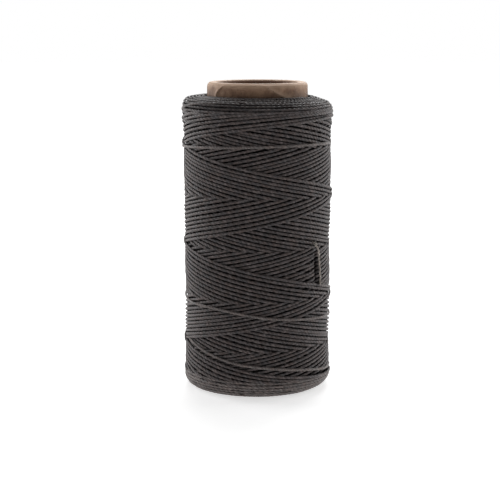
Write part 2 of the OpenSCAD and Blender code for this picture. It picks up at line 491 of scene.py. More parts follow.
def coat(shape: Shape, finish: Material) -> None:
    """Makes a finish the only one of an object."""
    shape.data.materials.clear()
    shape.data.materials.append(finish)


def linked(name: str, data: bpy.types.ID) -> Shape:
    """Makes an object and links it to the scene.

    Args:
        name: the object's name.
        data: its mesh, curve, lamp or camera.

    Returns:
        The new object.
    """
    shape = bpy.data.objects.new(name, data)
    bpy.context.scene.collection.objects.link(shape)
    return shape


def smooth_object(name: str, mesh: bpy.types.Mesh) -> Shape:
    """Makes an object of a mesh in metres, with smooth shading.

    Args:
        name: the piece's name.
        mesh: its mesh.

    Returns:
        The new object.
    """
    mesh.name = name
    mesh.shade_smooth()
    return linked(name, mesh)


def read(items: bpy.types.bpy_prop_collection, name: str, width: int, kind: type = np.float32) -> np.ndarray:
    """Reads one property of all items.

    Args:
        items: vertices, or corners of faces.
        name: the property's name.
        width: numbers in each item's value.
        kind: type of the numbers.

    Returns:
        The numbers as one flat array.
    """
    values = np.empty(width * len(items), kind)
    items.foreach_get(name, values)
    return values


def mark(mesh: bpy.types.Mesh, name: str, values: np.ndarray) -> None:
    """Stores one number for each vertex as an attribute."""
    mesh.attributes.new(name, "FLOAT", "POINT").data.foreach_set("value", values.astype(np.float32))


def turned(name: str, outline: list[Span], steps: int) -> Shape:
    """Turns a closed outline round the axis.

    Args:
        name: the piece's name.
        outline: radius and height of each corner, in millimetres.
        steps: faces round the axis.

    Returns:
        The new object, a closed ring.
    """
    shape = bmesh.new()
    corners = [shape.verts.new((radius * MM, 0, height * MM)) for radius, height in outline]
    edges = [shape.edges.new(pair) for pair in zip(corners, corners[1:] + corners[:1])]
    bmesh.ops.spin(
        shape,
        geom=corners + edges,
        cent=(0, 0, 0),
        axis=(0, 0, 1),
        angle=2 * math.pi,
        steps=steps,
        use_merge=True,
    )
    bmesh.ops.remove_doubles(shape, verts=shape.verts, dist=1e-7)
    bmesh.ops.recalc_face_normals(shape, faces=shape.faces)
    mesh = bpy.data.meshes.new(name)
    shape.to_mesh(mesh)
    shape.free()
    return smooth_object(name, mesh)


# ----------------------------------------------------------------------------------------- Package


@dataclass(frozen=True)
class Shoulder:
    """Profile of one end of the package: a round edge, and an end face that rises towards the tube.

    The thread slipped further over the edge on one side, so the rounding and the taper are larger there.
    """

    end: End
    rounding: float
    rounding_uneven: float
    taper: float
    taper_uneven: float
    slipped: float = 62.0

    def edge(self, heading: np.ndarray) -> tuple[np.ndarray, np.ndarray]:
        """Works out the shoulder's form.

        Args:
            heading: degrees round the axis from the front.

        Returns:
            Rounding there, and how far the end face's outward direction leans, in radians.
        """
        share = np.cos(np.radians(heading - self.slipped))
        steepest = np.radians(90 - self.taper - self.taper_uneven * share)
        return self.rounding + self.rounding_uneven * share, steepest


@dataclass(frozen=True)
class PackageForm:
    """The finished package's surface: a straight side, two round shoulders and two end faces."""

    radius: float
    foot: float
    head: float
    seat: float
    lower: Shoulder = Shoulder(End.FOOT, rounding=4.2, rounding_uneven=0.6, taper=3.8, taper_uneven=1.2)
    upper: Shoulder = Shoulder(End.HEAD, rounding=2.6, rounding_uneven=0.4, taper=11.5, taper_uneven=6.2)

    @classmethod
    def from_frame(cls) -> "PackageForm":
        """Works the package's sizes out from the CAD nodes.

        Returns:
            The form that fits them.
        """
        core_low, core_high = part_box(Node.CORE.value)
        winding_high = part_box(Node.WINDING.value)[1]
        tube_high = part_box(Node.SKIN.value)[1]
        build_up = (winding_high.x - core_high.x) / MM
        return cls(
            radius=winding_high.x / MM,
            foot=core_low.z / MM - build_up - FOOT_SLUMP,
            head=core_high.z / MM + build_up,
            seat=tube_high.x / MM,
        )

    def shoulder_start(self, shoulder: Shoulder, heading: np.ndarray) -> np.ndarray:
        """Finds where a shoulder begins, so that its end face meets the tube at the package's end.

        Args:
            shoulder: one of the two shoulders.
            heading: degrees round the axis from the front.

        Returns:
            Climb of its beginning there.
        """
        rounding, steepest = shoulder.edge(heading)
        inward = self.radius - rounding * (1 - np.cos(steepest)) - self.seat
        rise = rounding * np.sin(steepest) + inward / np.tan(steepest)
        tip = self.head if shoulder.end is End.HEAD else self.foot
        return tip - shoulder.end.value * rise

    def climb_at(self, shoulder: Shoulder, heading: np.ndarray, radius: np.ndarray) -> np.ndarray:
        """Finds where a shoulder or its end face has come in to a radius.

        Args:
            shoulder: one of the two shoulders.
            heading: degrees round the axis from the front.
            radius: the radius.

        Returns:
            Climb of that place.
        """
        rounding, steepest = shoulder.edge(heading)
        inward = self.radius - radius
        round_part = np.arccos(np.clip(1 - inward / rounding, np.cos(steepest), 1)) * rounding
        flat_part = np.maximum(inward - rounding * (1 - np.cos(steepest)), 0) / np.sin(steepest)
        return self.shoulder_start(shoulder, heading) + shoulder.end.value * (round_part + flat_part)

    def lean(self, heading: np.ndarray, climb: np.ndarray) -> np.ndarray:
        """Works out how far the surface's outward direction points up.

        Args:
            heading: degrees round the axis from the front.
            climb: distance up the side and round the shoulders.

        Returns:
            Its angle above level, in radians.
        """
        total = np.zeros(np.broadcast(heading, climb).shape)
        for shoulder in (self.lower, self.upper):
            past = (climb - self.shoulder_start(shoulder, heading)) * shoulder.end.value
            rounding, steepest = shoulder.edge(heading)
            total += shoulder.end.value * np.clip(past / rounding, 0, steepest)
        return total

    def place(self, heading: np.ndarray, climb: np.ndarray, lift: np.ndarray) -> np.ndarray:
        """Works out points over the surface.

        Args:
            heading: degrees round the axis from the front.
            climb: distance up the side and round the shoulders.
            lift: height above the surface.

        Returns:
            One row of x, y and z in millimetres for each point.
        """
        lean = self.lean(heading, climb)
        radius = self.radius + lift * np.cos(lean)
        height = climb + lift * np.sin(lean)
        for shoulder in (self.lower, self.upper):
            sign = shoulder.end.value
            start = self.shoulder_start(shoulder, heading)
            rounding, steepest = shoulder.edge(heading)
            past = np.maximum((climb - start) * sign, 0)
            bend = np.minimum(past / rounding, steepest)
            beyond = np.maximum(past - rounding * steepest, 0)
            radius -= rounding * (1 - np.cos(bend)) + beyond * np.sin(steepest)
            height += sign * (rounding * np.sin(bend) + beyond * np.cos(steepest) - past)
        turn = np.radians(heading)
        return np.stack([radius * np.sin(turn), -radius * np.cos(turn), height], axis=-1)

    def unrolled(self, points: np.ndarray) -> tuple[np.ndarray, np.ndarray, np.ndarray]:
        """Finds where points lie over the surface, as the reverse of place.

        Args:
            points: one row of x, y and z in millimetres for each.

        Returns:
            Heading, climb and lift of each point.
        """
        heading = np.degrees(np.arctan2(points[:, 0], -points[:, 1]))
        radius, climb = np.hypot(points[:, 0], points[:, 1]), points[:, 2]
        lift = radius - self.radius
        for shoulder in (self.lower, self.upper):
            rounding, steepest = shoulder.edge(heading)
            start = self.shoulder_start(shoulder, heading)
            past = (points[:, 2] - start) * shoulder.end.value
            out = radius - self.radius + rounding
            bend = np.clip(np.arctan2(past, out), 0, steepest)
            flat = past * np.cos(bend) - out * np.sin(bend)
            climb = np.where(past > 0, start + shoulder.end.value * (rounding * bend + flat), climb)
            lift = np.where(past > 0, out * np.cos(bend) + past * np.sin(bend) - rounding, lift)
        return heading, climb, lift


@dataclass
class Strand:
    """A run of thread over the package, as its middle line."""

    heading: np.ndarray
    climb: np.ndarray
    lift: np.ndarray

    def joined(self, other: "Strand") -> "Strand":
        """This run with another one after it, whose first point is this one's last."""
        pairs = zip(self.lines(), other.lines(), strict=True)
        return Strand(*(np.concatenate([mine, theirs[1:]]) for mine, theirs in pairs))

    def refined(self) -> "Strand":
        """This run with another point between every two."""
        points = np.arange(len(self.heading))
        return Strand(*(np.interp(np.arange(2 * len(points) - 1) / 2, points, line) for line in self.lines()))

    def lines(self) -> tuple[np.ndarray, np.ndarray, np.ndarray]:
        """Heading, climb and lift."""
        return self.heading, self.climb, self.lift


@dataclass(frozen=True)
class ThreadSize:
    """Section of the flattened thread."""

    width: float = 0.88
    thickness: float = 0.6
    sides: int = 8
    unevenness: float = 0.05
    lump: int = 6
    ply_rise: float = 0.08

    def outline(self, name: str) -> Shape:
        """Makes the section as a flat curve: thickness on X, width on Y, seam on the inner side.

        Args:
            name: name for the helper object, which the caller removes.

        Returns:
            The curve object.
        """
        curve = bpy.data.curves.new(name, "CURVE")
        curve.dimensions = "2D"
        spline = curve.splines.new("POLY")
        spline.points.add(self.sides - 1)
        spline.use_cyclic_u = True
        for i, point in enumerate(spline.points):
            turn = 2 * math.pi * i / self.sides
            across = self.thickness / 2 * MM * math.cos(turn)
            point.co = (across, self.width / 2 * MM * math.sin(turn), 0, 1)
        return linked(name, curve)


def swept(name: str, runs: list[np.ndarray], tilts: list[np.ndarray], thread: ThreadSize) -> Shape:
    """Sweeps the thread's section along middle lines.

    Args:
        name: the piece's name.
        runs: middle lines in millimetres, one row for each point.
        tilts: turn of the section about its line at each point, in radians.
        thread: the section.

    Returns:
        A mesh object whose UV map holds millimetres along the thread and turns round it.
    """
    section = thread.outline(name + "_section")
    curve = bpy.data.curves.new(name, "CURVE")
    curve.dimensions = "3D"
    curve.twist_mode = "Z_UP"
    curve.bevel_mode = "OBJECT"
    curve.bevel_object = section
    curve.use_fill_caps = True
    rng = np.random.default_rng(len(name))
    for run, tilt in zip(runs, tilts, strict=True):
        spline = curve.splines.new("POLY")
        spline.points.add(len(run) - 1)
        points = np.column_stack([run * MM, np.ones(len(run))])
        spline.points.foreach_set("co", points.ravel().astype(np.float32))
        spline.points.foreach_set("tilt", tilt.astype(np.float32))
        girth = 1 + wander(rng, len(run), thread.lump, thread.unevenness)
        spline.points.foreach_set("radius", girth.astype(np.float32))
    holder = linked(name + "_curve", curve)
    view = bpy.context.evaluated_depsgraph_get()
    mesh = bpy.data.meshes.new_from_object(holder.evaluated_get(view))
    length = np.mean([np.linalg.norm(np.diff(run, axis=0), axis=1).sum() for run in runs])
    places = read(mesh.uv_layers[0].data, "uv", 2)
    places[0::2] *= length
    mesh.uv_layers[0].data.foreach_set("uv", places)
    raise_plies(mesh, places.reshape(-1, 2), thread.ply_rise)
    for helper in (holder, section):
        data = helper.data
        bpy.data.objects.remove(helper)
        bpy.data.curves.remove(data)
    return smooth_object(name, mesh)


def raise_plies(mesh: bpy.types.Mesh, places: np.ndarray, rise: float) -> None:
    """Raises the plies' slanting humps on a swept thread.

    Args:
        mesh: the thread's mesh.
        places: millimetres along the thread and turns round it, for each loop.
        rise: height of the humps over the grooves, in millimetres.
    """
    owners = read(mesh.loops, "vertex_index", 1, np.int32)
    along, around = np.empty(len(mesh.vertices)), np.empty(len(mesh.vertices))
    along[owners], around[owners] = places.T
    humps = np.abs(np.sin(math.pi * (PLIES * around + along / HUMP)))
    spots = read(mesh.vertices, "co", 3)
    lift = np.repeat((humps - humps.mean()) * rise * MM, 3).astype(np.float32)
    spots += read(mesh.vertices, "normal", 3) * lift
    mesh.vertices.foreach_set("co", spots)
    mesh.update()


def swept_flat(name: str, runs: list[np.ndarray], thread: ThreadSize, stand: Matrix) -> Shape:
    """Sweeps the thread's section along steep lines that lie flat on one face.

    Args:
        name: the piece's name.
        runs: middle lines in millimetres.
        thread: the section.
        stand: turn whose X axis goes along the lines and whose Z axis points out of the face.

    Returns:
        A mesh object like the one that swept gives.
    """
    back = np.array(stand)
    flat = [run @ back for run in runs]
    shape = swept(name, flat, [np.full(len(run), math.pi / 2) for run in runs], thread)
    shape.data.transform(stand.to_4x4())
    return shape


def wander(rng: np.random.Generator, count: int, scale: float, amount: float) -> np.ndarray:
    """Smooth random line.

    Args:
        rng: source of the random numbers.
        count: points on the line.
        scale: points from one random value to the next.
        amount: standard deviation of the values.

    Returns:
        The line's values.
    """
    knots = rng.normal(0, amount, int(count / scale) + 3)
    x = np.arange(count) / scale
    i = x.astype(int)
    share = ease(x - i)
    return knots[i] * (1 - share) + knots[i + 1] * share


def smooth_route(points: tuple[tuple[float, ...], ...], samples: int) -> np.ndarray:
    """Draws a smooth line through listed points.

    Args:
        points: the points, each with the same number of values.
        samples: steps from one point to the next.

    Returns:
        One row for each step of the line.
    """
    knots = np.array([points[0], *points, points[-1]], float)
    share = (np.arange(samples) / samples)[:, None]
    rows = []
    for a, b, c, d in zip(knots, knots[1:], knots[2:], knots[3:]):
        square, cube = a - 2.5 * b + 2 * c - d / 2, 1.5 * (b - c) + (d - a) / 2
        rows.append(b + share * (c - a) / 2 + share**2 * square + share**3 * cube)
    return np.concatenate([*rows, knots[-1:]])


@dataclass(frozen=True)
class Snag:
    """Place where the loose end was drawn under the turns and pulled them together in pairs."""

    heading: float = 43.0
    climb: float = 41.0
    reach_round: float = 9.0
    reach_up: float = 5.5
    pull: float = 0.3
    pair: float = 2.9
    dent: float = 0.9
    dent_heading: float = 52.6
    dent_round: float = 2.2

    def near(self, aside: np.ndarray, climb: np.ndarray) -> np.ndarray:
        """How near the snag these places are, from 0 to 1."""
        return np.exp(-(aside**2) - ((climb - self.climb) / self.reach_up) ** 2)

    def shift(self, heading: np.ndarray, climb: np.ndarray) -> np.ndarray:
        """How far up the turns are pulled at these places."""
        near = self.near(turn_from(heading, self.heading) / self.reach_round, climb)
        return self.pull * near * np.sin(2 * math.pi * climb / self.pair)

    def press(self, heading: np.ndarray, climb: np.ndarray) -> np.ndarray:
        """How far in the loose end presses the turns at these places."""
        return self.dent * self.near(turn_from(heading, self.dent_heading) / self.dent_round, climb)


@dataclass
class Relief:
    """Height of the package as it grows, on a grid of headings and climbs."""

    form: PackageForm
    round_cells: int = 720
    cell: float = 0.1
    margin: float = 6.0
    lowest: float = field(init=False)
    rows: int = field(init=False)
    height: np.ndarray = field(init=False)

    def __post_init__(self) -> None:
        """Starts with a level surface."""
        self.lowest = self.form.foot - self.margin
        self.rows = int((self.form.head + self.margin - self.lowest) / self.cell)
        self.height = np.zeros((self.round_cells, self.rows))

    def climbs(self) -> np.ndarray:
        """Climb of each row of cells."""
        return self.lowest + (np.arange(self.rows) + 0.5) * self.cell

    def softened(self, degrees: float, up: float) -> np.ndarray:
        """Height of the package without its single turns.

        Args:
            degrees: spread of the smoothing round the package.
            up: spread of the smoothing up the package.

        Returns:
            The smooth height of each cell.
        """
        spread_round = degrees / 360 * self.round_cells * np.fft.fftfreq(self.round_cells)[:, None]
        spread_up = up / self.cell * np.fft.rfftfreq(self.rows)[None, :]
        keep = np.exp(-2 * math.pi**2 * (spread_round**2 + spread_up**2))
        return np.fft.irfft2(np.fft.rfft2(self.height) * keep, self.height.shape)

    def cells(self, heading: np.ndarray, climb: np.ndarray) -> tuple[np.ndarray, np.ndarray]:
        """Grid places of points."""
        across = np.floor(heading / 360 * self.round_cells).astype(int) % self.round_cells
        return across, np.clip(((climb - self.lowest) / self.cell).astype(int), 0, self.rows - 1)


@dataclass(frozen=True)
class Reversals:
    """Turning points on one end of the package.

    They swing in and out over some double strokes, as on a winder that spreads its turning points so that
    no hard edge builds up. The last turning point is the softest and lies furthest in.
    """

    reach: Span
    softness: Span
    cycle: float = 16.0
    scatter: float = 3.0

    def swing(self, rng: np.random.Generator, count: int) -> tuple[np.ndarray, np.ndarray]:
        """Works out every turning point.

        Args:
            rng: source of small random differences.
            count: turning points on this end.

        Returns:
            Climb at which each straight stroke would reverse, and the degrees that each reversal takes.
        """
        back = (count - 1 - np.arange(count)) / self.cycle
        wave = np.abs((back + 0.5) % 1 - 0.5) * 2
        reach = self.reach[1] + (self.reach[0] - self.reach[1]) * wave
        softness = self.softness[1] + (self.softness[0] - self.softness[1]) * wave
        return reach, softness + rng.normal(0, self.scatter, count)


@dataclass
class Winder:
    """Precision winder, which lays a taut thread on the package stroke by stroke.

    A double stroke takes six turns and a small drift, so every turn lies beside the one laid a double
    stroke before, and the layer closes when the drifts add up to a whole turn. The pairs felt and printed
    say how far across the thread, as a share of half its width, it rests on what lies below and raises the
    package, and at how many places.
    """

    form: PackageForm
    thread: ThreadSize
    stroke_turns: int = 3
    drift: float = 14.1
    double_strokes: int = 51
    upper: Reversals = Reversals(reach=(96.6, 95.6), softness=(70.0, 165.0))
    lower: Reversals = Reversals(reach=(-1.5, -0.5), softness=(50.0, 128.0))
    last_heading: float = 102.0
    step: float = 2.0
    slow_sway: float = 0.07
    slow_way: int = 60
    quick_sway: float = 0.03
    quick_way: int = 15
    join_angle: float = 60.0
    join_way: float = 12.0
    felt: tuple[float, int] = (0.9, 9)
    printed: tuple[float, int] = (0.96, 17)
    print_steps: int = 4
    soft_points: int = 7
    stiffness: tuple[int, ...] = (1, 2, 3, 2, 1)
    give: float = 0.25
    bulge: float = 0.25
    bulge_below: float = 4.0
    bulge_reach: float = 5.0
    full: float = 0.3
    full_from: float = 48.0
    full_way: float = 14.0
    below: float = 0.35
    level_round: float = 5.0
    level_up: float = 0.9
    yields: Span = (3.6, 89.8)
    yield_depth: float = 0.55
    yield_way: float = 3.0
    wound: float = 2.2
    settle_every: int = 6
    proud: float = 0.25
    proud_breadth: float = 0.4
    proud_lift: float = 0.05
    yielding: float = 0.6
    seed: int = 3
    snag: Snag = Snag()
    strands: list[Strand] = field(default_factory=list)
    core_lift: np.ndarray = field(init=False)

    @property
    def stroke_angle(self) -> float:
        """Degrees from one turning point to the next."""
        return self.stroke_turns * 360 + self.drift / 2

    def guide(self, turned_by: np.ndarray, first: float, last: float) -> np.ndarray:
        """Share of a stroke that the guide has done, with a soft reversal at either end.

        Args:
            turned_by: degrees since the stroke began.
            first: degrees of the reversal at the stroke's start.
            last: degrees of the reversal at its end.

        Returns:
            Share of the way between the reversals, for each angle.
        """
        left = self.stroke_angle - turned_by
        done = np.where(turned_by < first, first / 2 + turned_by**2 / (2 * first), turned_by)
        done = np.where(left < last, self.stroke_angle - last / 2 - left**2 / (2 * last), done)
        return done / self.stroke_angle

    def strokes(self, rng: np.random.Generator) -> list[Strand]:
        """Plans all strokes, still without their lifts.

        Args:
            rng: source of the small random sways.

        Returns:
            The strokes in the order in which they are laid.
        """
        count = 2 * self.double_strokes
        reach, softness = np.empty(count + 1), np.empty(count + 1)
        reach[0::2], softness[0::2] = self.lower.swing(rng, self.double_strokes + 1)
        reach[1::2], softness[1::2] = self.upper.swing(rng, self.double_strokes)
        turned_by = np.linspace(0, self.stroke_angle, int(self.stroke_angle / self.step) + 1)
        gone = ease(turned_by / self.stroke_angle)
        height = self.upper.reach[1] - self.lower.reach[1]
        planned = []
        sway = 0.0
        for i in range(count):
            share = self.guide(turned_by, softness[i], softness[i + 1])
            ends = (self.lower, self.upper) if i % 2 == 0 else (self.upper, self.lower)
            first, last = (reach[i + side] - end.reach[1] for side, end in enumerate(ends))
            climb = self.lower.reach[1] + height * (share if i % 2 == 0 else 1 - share)
            climb += first + (last - first) * gone
            line = wander(rng, len(climb), self.slow_way, self.slow_sway)
            line += wander(rng, len(climb), self.quick_way, self.quick_sway)
            line += (sway - line[0]) * (1 - ease(turned_by / self.join_angle))
            sway = line[-1]
            heading = self.last_heading - (count - i) * self.stroke_angle + turned_by
            climb = climb + line
            climb += self.snag.shift(heading, climb)
            planned.append(Strand(heading, climb, np.zeros(len(climb))))
        return planned

    def lay(self, relief: Relief, strand: Strand, start_lift: float | None = None) -> None:
        """Lays one run of thread: it rests on what it crosses, and spans the hollows in between.

        Args:
            relief: the package so far, which the run is added to.
            strand: the run, which gets its lifts.
            start_lift: lift of the run before, which this one goes on from.
        """
        radius = self.form.radius
        round_way = np.radians(strand.heading) * radius
        length = np.hypot(np.diff(round_way), np.diff(strand.climb))
        way = np.concatenate([[0], np.cumsum(length)])
        slope_round, slope_up = np.gradient(round_way, way), np.gradient(strand.climb, way)
        half_width, half_thick = self.thread.width / 2, self.thread.thickness / 2
        rest = np.full(len(way), -np.inf)
        for aside in spread(*self.felt):
            heading = np.degrees((round_way - aside * half_width * slope_up) / radius)
            cells = relief.cells(heading, strand.climb + aside * half_width * slope_round)
            rest = np.maximum(rest, relief.height[cells] + half_thick * math.sqrt(1 - aside**2))
        bend = np.cos(self.form.lean(strand.heading, strand.climb)) / radius
        dip = np.concatenate([[0], np.cumsum(np.cumsum(bend[1:] * length) * length)])
        taut = spanned(way, rest - dip) + dip
        lift = (1 - self.give) * taut + self.give * smoothed(rest, np.ones(self.soft_points))
        lift = smoothed(lift, np.array(self.stiffness))
        if start_lift is not None:
            lift += (start_lift - lift[0]) * (1 - ease(way / self.join_way))
        strand.lift = lift
        self.deposit(relief, strand, slope_round, slope_up)

    def deposit(self, relief: Relief, strand: Strand, slope_round: np.ndarray, slope_up: np.ndarray) -> None:
        """Adds a laid run to the package's relief.

        Args:
            relief: the package so far.
            strand: the run with its lifts.
            slope_round: the run's direction round the package.
            slope_up: the run's direction up the package.
        """
        radius = self.form.radius
        fine = np.arange(self.print_steps * (len(strand.heading) - 1) + 1) / self.print_steps
        points = np.arange(len(strand.heading))
        heading, climb, lift, along, up = (
            np.interp(fine, points, line) for line in (*strand.lines(), slope_round, slope_up)
        )
        for aside in spread(*self.printed):
            across = aside * self.thread.width / 2
            cells = relief.cells(heading - np.degrees(across * up / radius), climb + across * along)
            top = lift + self.thread.thickness / 2 * math.sqrt(1 - aside**2)
            np.maximum.at(relief.height, cells, top)

    def beyond(self, climbs: np.ndarray) -> np.ndarray:
        """How far each row of cells lies past the part that is wound full."""
        return np.maximum(climbs - self.yields[1], self.yields[0] - climbs)

    def wind(self) -> Relief:
        """Winds the package twice: once to see where it stays low, and again on a core that evens it out.

        Returns:
            The finished package's relief.
        """
        climbs = Relief(self.form).climbs()
        swell = self.bulge * np.exp(-(((climbs - self.form.head + self.bulge_below) / self.bulge_reach) ** 2))
        swell += self.full * ease((climbs - self.full_from) / self.full_way)
        past = self.beyond(climbs)
        target = swell - self.below - self.yield_depth * ease(past / self.yield_way)
        self.core_lift = np.full(len(climbs), -self.wound)
        relief = self.wind_on_core(target)
        short = np.maximum(target - relief.softened(360, self.level_up).mean(axis=0), 0)
        self.core_lift += short * ease(1 - past / self.yield_way)
        return self.wind_on_core(target)

    def wind_on_core(self, target: np.ndarray) -> Relief:
        """Lays all the strokes, and lets the package settle now and then.

        Args:
            target: height that the package should reach at each row of cells.

        Returns:
            The package's relief.
        """
        rng = np.random.default_rng(self.seed)
        relief = Relief(self.form)
        relief.height += self.core_lift
        self.strands = self.strokes(rng)
        lift = None
        for i, stroke in enumerate(self.strands, start=1):
            self.lay(relief, stroke, lift)
            if i % self.settle_every == 0 or i == len(self.strands):
                share = i / len(self.strands)
                self.settle(relief, self.strands[:i], target * share - self.wound * (1 - share))
            lift = stroke.lift[-1]
        self.settle(relief, self.strands, target + self.proud, self.proud_breadth)
        for stroke in self.strands:
            stroke.lift -= self.yielding * np.maximum(stroke.lift - self.proud_lift, 0)
        return relief

    def settle(self, relief: Relief, laid: list[Strand], level: np.ndarray, breadth: float = 1.0) -> None:
        """Lets the turns sink where they pile up, as they do when the turns below them give way.

        Args:
            relief: the package so far.
            laid: the strokes on it.
            level: height that it should have now at each row of cells.
            breadth: breadth of the piles, against that of the usual ones.
        """
        excess = np.maximum(relief.softened(self.level_round * breadth, self.level_up * breadth) - level, 0)
        for strand in laid:
            strand.lift -= excess[relief.cells(strand.heading, strand.climb)]
        relief.height -= excess


def spanned(way: np.ndarray, rest: np.ndarray) -> np.ndarray:
    """Line of a taut thread over supports.

    Args:
        way: distance of each support along the thread.
        rest: height of each support.

    Returns:
        Height of the lowest line without hollows that passes over them all.
    """
    kept: list[int] = []
    for i in range(len(way)):
        while len(kept) > 1:
            a, b = kept[-2], kept[-1]
            if (rest[b] - rest[a]) * (way[i] - way[a]) > (rest[i] - rest[a]) * (way[b] - way[a]):
                break
            kept.pop()
        kept.append(i)
    return np.interp(way, way[kept], rest[kept])


@dataclass(frozen=True)
class HandTurn:
    """One of the last turns, wound by hand over the finished layer, with its ends drawn under others.

    It sinks further in on the sides, where fingers held the package. The route's points hold heading and
    climb.
    """

    route: tuple[Span, ...]
    samples: int = 24
    tuck: float = 5.0
    tuck_depth: float = 1.1
    give: float = 0.8
    sink: float = 0.35
    sink_from: float = 60.0
    sink_way: float = 15.0

    def strand(self, winder: Winder, relief: Relief) -> Strand:
        """Lays the turn.

        Args:
            winder: the winder that lays it.
            relief: the package so far.

        Returns:
            The laid turn.
        """
        heading, climb = smooth_route(self.route, self.samples).T
        turn = Strand(heading, climb, np.zeros(len(heading)))
        replace(winder, give=self.give).lay(relief, turn)
        length = np.hypot(np.radians(np.diff(heading)) * winder.form.radius, np.diff(climb))
        way = np.concatenate([[0], np.cumsum(length)])
        turn.lift -= self.sink * ease((np.abs(heading) - self.sink_from) / self.sink_way)
        for gone in (way, way[-1] - way):
            turn.lift -= self.tuck_depth * (1 - ease(gone / self.tuck))
        return turn


@dataclass(frozen=True)
class EndTurns:
    """Turning points of the inner layers, which lie side by side over a shoulder and its end face.

    Each one is an arc whose ends run back under the turns beside it. The outermost lie at a slant, further
    out on the package's right, and the innermost lie square to the tube. Shares of the way run from 0,
    where the shoulder begins, to 1 at the tube.
    """

    shoulder: Shoulder
    first_share: float = 0.0
    pitch: float = 1.02
    arcs: int = 4
    half_arc: float = 62.0
    slant: float = 0.9
    top: float = 0.12
    tuck: float = 1.1
    tuck_from: float = 0.7
    turn_in: float = 0.5
    scatter: float = 0.09
    turn_on: Span = (0.25, 0.45)
    uneven: float = 0.12
    sway_way: float = 20.0
    lift_way: float = 18.0
    step: float = 1.2
    seed: int = 11

    def lay(self, form: PackageForm, thread: ThreadSize) -> tuple[list[np.ndarray], list[np.ndarray]]:
        """Lays all the arcs on this end.

        Args:
            form: the package's form.
            thread: the thread's section.

        Returns:
            Middle line of each arc in millimetres, and the tilt of its section.
        """
        rng = np.random.default_rng(self.seed)
        sign = self.shoulder.end.value
        turn = np.arange(-self.half_arc, self.half_arc + self.step / 2, self.step)
        aside = np.abs(turn) / self.half_arc
        lines, tilts = [], []
        start = form.shoulder_start(self.shoulder, 0.0)
        end = form.climb_at(self.shoulder, 0.0, form.seat + thread.thickness)
        first = rng.uniform(0, 360)
        for share in np.arange(self.first_share, 1, self.pitch / abs(end - start)):
            first += 360 / self.arcs * rng.uniform(*self.turn_on)
            for i in range(self.arcs):
                heading = first + 360 * (i + rng.uniform(-self.uneven, self.uneven)) / self.arcs + turn
                begin = form.shoulder_start(self.shoulder, heading)
                reach = form.climb_at(self.shoulder, heading, form.seat + thread.thickness) - begin
                sway = wander(rng, len(turn), self.sway_way / self.step, self.scatter)
                sway += rng.normal(0, self.scatter)
                slant = sign * self.slant * (1 - share) * np.sin(np.radians(heading))
                climb = begin + reach * share + sway + slant
                sunk = ease((aside - self.tuck_from) / (1 - self.tuck_from))
                lift = -self.top - thread.thickness / 2 - self.tuck * sunk
                uneven = wander(rng, len(turn), self.lift_way / self.step, self.scatter / 2)
                lift += uneven + rng.normal(0, self.scatter)
                lean = form.lean(heading, climb)
                lines.append(form.place(heading, climb, lift))
                tilts.append(-lean * (1 - self.turn_in * np.abs(lean) / self.shoulder.edge(heading)[1]))
        return lines, tilts


